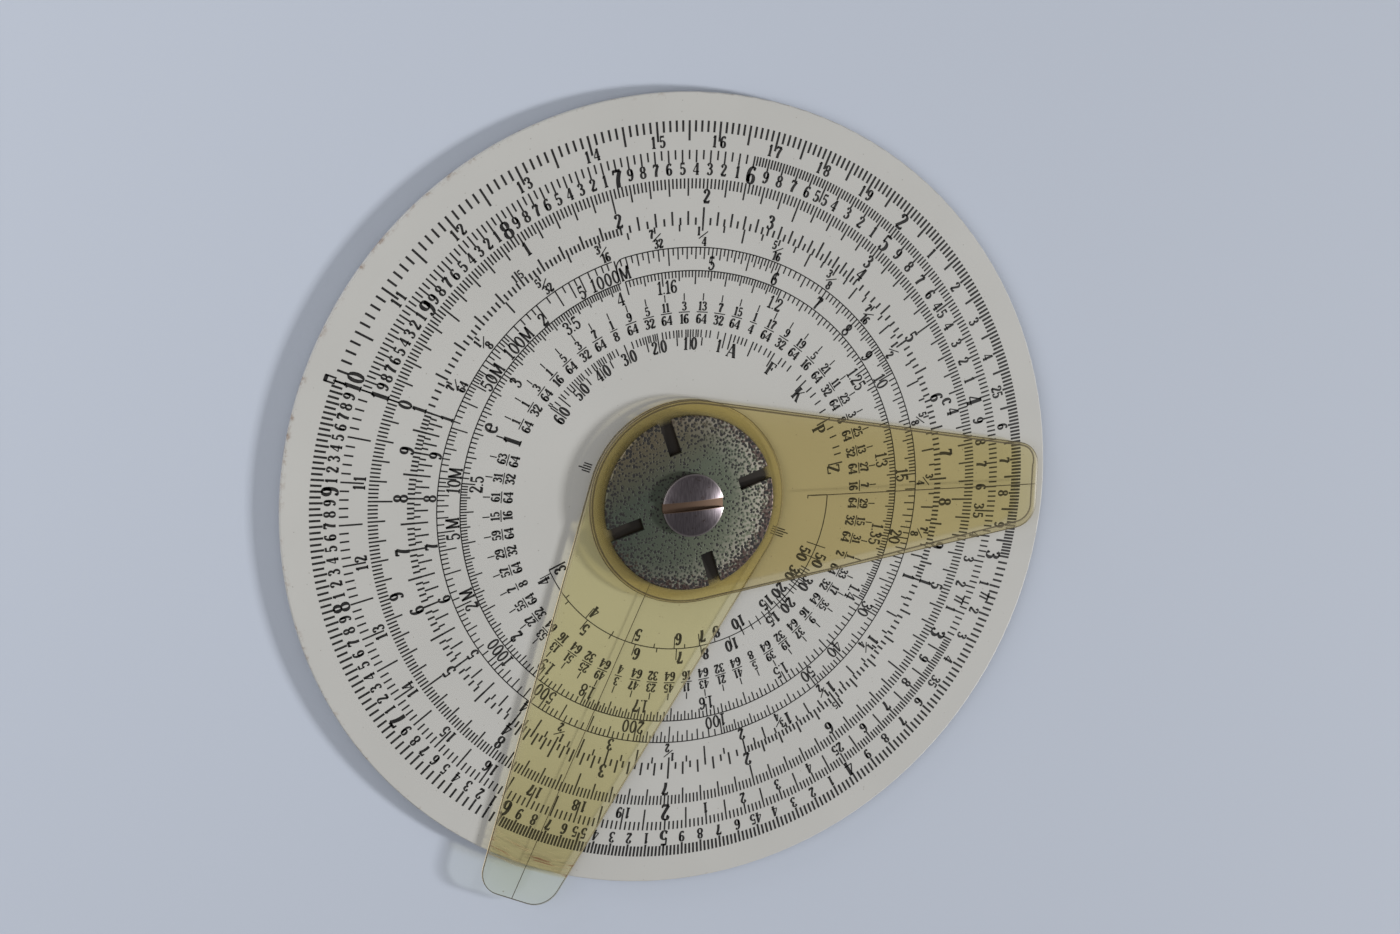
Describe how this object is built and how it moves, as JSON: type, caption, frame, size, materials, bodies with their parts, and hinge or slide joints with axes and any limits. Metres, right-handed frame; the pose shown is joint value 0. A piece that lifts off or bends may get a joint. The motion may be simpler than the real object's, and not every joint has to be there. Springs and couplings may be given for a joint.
{
  "type": "circular slide rule",
  "caption": "Flat round calculating dial with ring scales, and a short and a long tapered clear cursor that turn about a slotted centre screw under a dished spring washer.",
  "frame": {"origin": "on the pivot axis, at the centre of the flat back face of the hub post's flange, which the rule lies on", "axes": "+Z along the pivot axis, out of the printed face; +X and +Y in the plane of the dial, with +X close to the short cursor"},
  "size_m": [0.216, 0.22, 0.0105],
  "materials": {
    "enamel": "satin",
    "celluloid": "gloss",
    "plated_steel": "satin",
    "screw_steel": "satin",
    "post_steel": "satin",
    "fibre": "matte"
  },
  "bodies": {
    "dial": {"dial_disc": "enamel", "hub_post": "post_steel", "back_washer": "fibre", "lower_washer": "fibre", "spring_washer": "plated_steel", "centre_screw": "screw_steel"},
    "long_arm": {"long_cursor": "celluloid", "middle_washer": "fibre"},
    "short_arm": {"short_cursor": "celluloid"}
  },
  "joints": [
    {"name": "long_cursor_turn", "type": "hinge", "parent": "dial", "child": "long_arm", "pos_m": [0, 0, 0.0044], "axis": [0, 0, 1], "continuous": true},
    {"name": "short_cursor_turn", "type": "hinge", "parent": "long_arm", "child": "short_arm", "pos_m": [0, 0, 0.0058], "axis": [0, 0, 1], "continuous": true}
  ]
}
